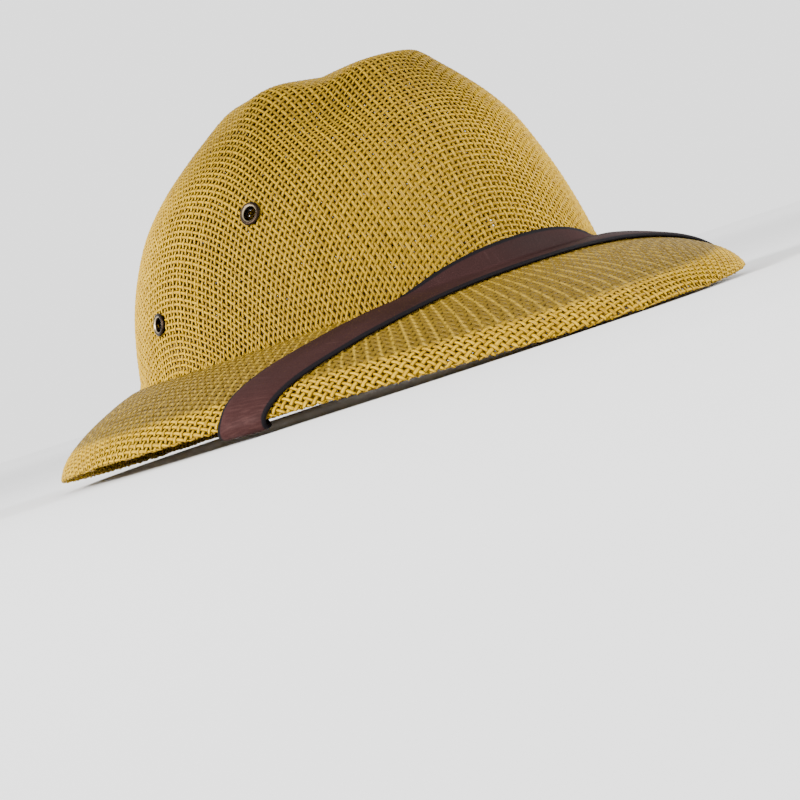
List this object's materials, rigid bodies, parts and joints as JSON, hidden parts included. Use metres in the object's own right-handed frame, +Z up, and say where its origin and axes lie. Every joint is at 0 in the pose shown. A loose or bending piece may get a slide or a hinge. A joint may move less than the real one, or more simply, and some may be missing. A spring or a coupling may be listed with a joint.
{
  "type": "straw sun helmet",
  "caption": "Open-weave straw sun helmet with a domed crown, wide sloping brim, cloth brim lining, vent eyelets and a flat chin strap worn up over the front of the brim.",
  "frame": {"origin": "middle of the footprint's box, at the level of the brim's lowest edge", "axes": "+Z up, -Y the hat's front, -X the wearer's right"},
  "size_m": [0.3176, 0.3676, 0.1472],
  "materials": {
    "straw": "open plain-woven straw, golden, slightly glossy",
    "lining": "fine tan cloth, matt",
    "eyelet": "dark antique bronze with a worn bright ring",
    "strap": "satin brown-mauve leather with near-black edges"
  },
  "bodies": {
    "root": {"straw_shell": "straw", "brim_lining": "lining", "eyelet_right_high": "eyelet", "eyelet_right_low": "eyelet", "eyelet_left_high": "eyelet", "eyelet_left_low": "eyelet", "chin_strap": "strap"}
  },
  "joints": []
}
